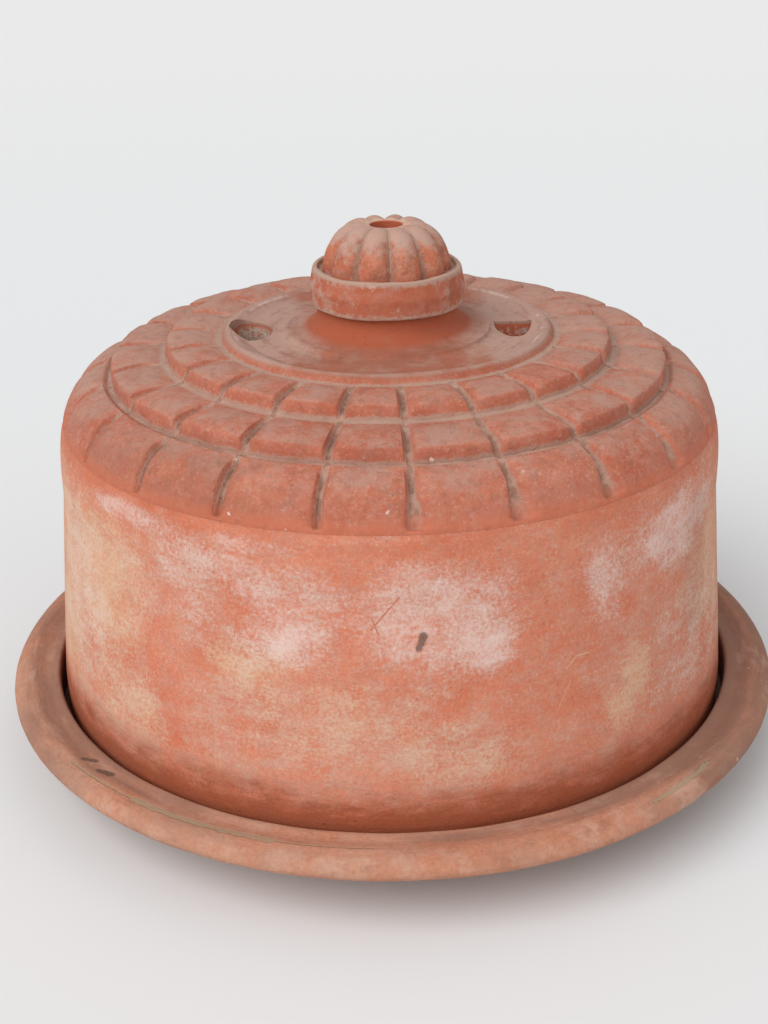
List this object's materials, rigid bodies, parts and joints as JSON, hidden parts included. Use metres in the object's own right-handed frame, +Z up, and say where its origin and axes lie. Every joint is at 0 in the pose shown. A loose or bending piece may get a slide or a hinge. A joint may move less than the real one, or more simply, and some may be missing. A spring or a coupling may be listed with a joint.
{
  "type": "butter cloche",
  "caption": "Unglazed terracotta butter cooler: a double-walled bell with a tiled crown, a water gutter and a lobed knob, standing in a rolled-rim saucer.",
  "frame": {"origin": "middle of the saucer's foot ring, on the surface it stands on", "axes": "+Z up along the axis the piece is turned about; the two pour holes lie to +X and -X, and the pictured side faces -Y"},
  "size_m": [0.18, 0.18, 0.1191],
  "materials": {
    "saucer_clay": "matte",
    "wall_clay": "matte",
    "crown_clay": "matte",
    "liner_clay": "matte",
    "knob_clay": "matte"
  },
  "bodies": {
    "saucer": {"saucer": "saucer_clay"},
    "cloche": {"wall": "wall_clay", "crown": "crown_clay", "inner_bell": "liner_clay", "knob": "knob_clay"}
  },
  "joints": [
    {"name": "bell_lift", "type": "slide", "parent": "saucer", "child": "cloche", "axis": [0, 0, 1], "range_m": [0, 0.08]}
  ]
}
